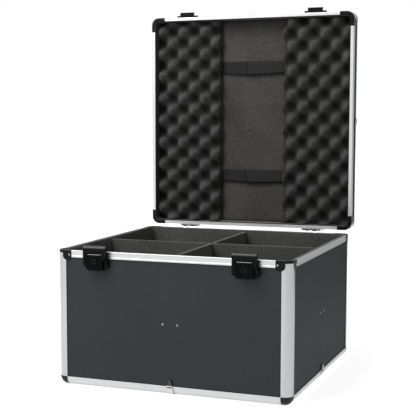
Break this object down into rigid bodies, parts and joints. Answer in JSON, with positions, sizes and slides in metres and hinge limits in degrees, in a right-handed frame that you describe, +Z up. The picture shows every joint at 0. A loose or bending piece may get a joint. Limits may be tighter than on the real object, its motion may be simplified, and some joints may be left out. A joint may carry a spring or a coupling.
{
  "type": "stage light flight case",
  "caption": "Square stage light flight case with a hinged foam-lined lid, aluminium edge rails, black corners, crossed felt dividers and key-locked draw latches.",
  "frame": {"origin": "centre of the bottom board's underside, on the case's middle planes", "axes": "+Z up, +X to the right of someone facing the latches, -Y towards the latched front; the lid stands open behind, above +Y"},
  "size_m": [0.486, 0.5685, 0.7742],
  "materials": {
    "laminate_board": "dark grey textured laminate on board",
    "aluminium_rail": "extruded, satin silver anodised",
    "black_moulding": "black, smooth satin moulding",
    "felt_lining": "charcoal short felt",
    "pad_cloth": "grey-brown short velour over a thin pad",
    "egg_crate_foam": "black open-cell egg-crate foam",
    "webbing": "dark hook-and-loop webbing",
    "black_steel": "black painted pressed steel",
    "lock_metal": "worn bright plated lock barrel"
  },
  "bodies": {
    "base": {"base_back_bottom_rail": "aluminium_rail", "base_back_left_ball_corner": "black_moulding", "base_back_left_corner_rail": "aluminium_rail", "base_back_left_rim_corner": "black_moulding", "base_back_panel": "laminate_board", "base_back_right_ball_corner": "black_moulding", "base_back_right_corner_rail": "aluminium_rail", "base_back_right_rim_corner": "black_moulding", "base_bottom_panel": "laminate_board", "base_front_bottom_rail": "aluminium_rail", "base_front_left_ball_corner": "black_moulding", "base_front_left_corner_rail": "aluminium_rail", "base_front_left_rim_corner": "black_moulding", "base_front_panel": "laminate_board", "base_front_right_ball_corner": "black_moulding", "base_front_right_corner_rail": "aluminium_rail", "base_front_right_rim_corner": "black_moulding", "base_left_bottom_rail": "aluminium_rail", "base_left_panel": "laminate_board", "base_liner": "felt_lining", "base_right_bottom_rail": "aluminium_rail", "base_right_panel": "laminate_board", "base_rim_frame": "aluminium_rail", "divider_front_back": "felt_lining", "divider_left_right": "felt_lining", "hinge_left_base_leaf": "black_steel", "hinge_right_base_leaf": "black_steel", "latch_left_body": "black_moulding", "latch_right_body": "black_moulding"},
    "lid": {"hinge_left_lid_leaf": "black_steel", "hinge_right_lid_leaf": "black_steel", "latch_left_keeper": "black_moulding", "latch_right_keeper": "black_moulding", "lid_back_left_ball_corner": "black_moulding", "lid_back_left_rim_corner": "black_moulding", "lid_back_panel": "laminate_board", "lid_back_right_ball_corner": "black_moulding", "lid_back_right_rim_corner": "black_moulding", "lid_back_strap": "webbing", "lid_centre_pad": "pad_cloth", "lid_edge_frame": "aluminium_rail", "lid_front_left_ball_corner": "black_moulding", "lid_front_left_rim_corner": "black_moulding", "lid_front_panel": "laminate_board", "lid_front_right_ball_corner": "black_moulding", "lid_front_right_rim_corner": "black_moulding", "lid_front_strap": "webbing", "lid_left_foam_strip": "egg_crate_foam", "lid_left_panel": "laminate_board", "lid_liner": "felt_lining", "lid_right_foam_strip": "egg_crate_foam", "lid_right_panel": "laminate_board", "lid_rim_frame": "aluminium_rail", "lid_top_panel": "laminate_board"},
    "left_lever": {"latch_left_lever": "black_moulding"},
    "left_hook": {"latch_left_hook": "black_moulding"},
    "left_lock": {"latch_left_lock": "lock_metal"},
    "right_lever": {"latch_right_lever": "black_moulding"},
    "right_hook": {"latch_right_hook": "black_moulding"},
    "right_lock": {"latch_right_lock": "lock_metal"}
  },
  "joints": [
    {"name": "lid_hinge", "type": "hinge", "parent": "base", "child": "lid", "pos_m": [0, 0.2535, 0.2655], "axis": [1, 0, 0], "range_deg": [0, 90]},
    {"name": "left_lever_pivot", "type": "hinge", "parent": "base", "child": "left_lever", "pos_m": [-0.1525, -0.2508, 0.263], "axis": [-1, 0, 0], "range_deg": [0, 105]},
    {"name": "left_hook_pivot", "type": "hinge", "parent": "left_lever", "child": "left_hook", "pos_m": [-0.1525, -0.25482, 0.25776], "axis": [-1, 0, 0], "range_deg": [-121, 0]},
    {"name": "left_lock_turn", "type": "hinge", "parent": "left_lever", "child": "left_lock", "pos_m": [-0.1525, -0.25, 0.2525], "axis": [0, 1, 0], "range_deg": [0, 90]},
    {"name": "right_lever_pivot", "type": "hinge", "parent": "base", "child": "right_lever", "pos_m": [0.1525, -0.2508, 0.263], "axis": [-1, 0, 0], "range_deg": [0, 105]},
    {"name": "right_hook_pivot", "type": "hinge", "parent": "right_lever", "child": "right_hook", "pos_m": [0.1525, -0.25482, 0.25776], "axis": [-1, 0, 0], "range_deg": [-121, 0]},
    {"name": "right_lock_turn", "type": "hinge", "parent": "right_lever", "child": "right_lock", "pos_m": [0.1525, -0.25, 0.2525], "axis": [0, 1, 0], "range_deg": [0, 90]}
  ],
  "couplings": [
    {"joint": "left_hook_pivot", "follows": "left_lever_pivot", "ratio": -1.15},
    {"joint": "right_hook_pivot", "follows": "right_lever_pivot", "ratio": -1.15}
  ]
}
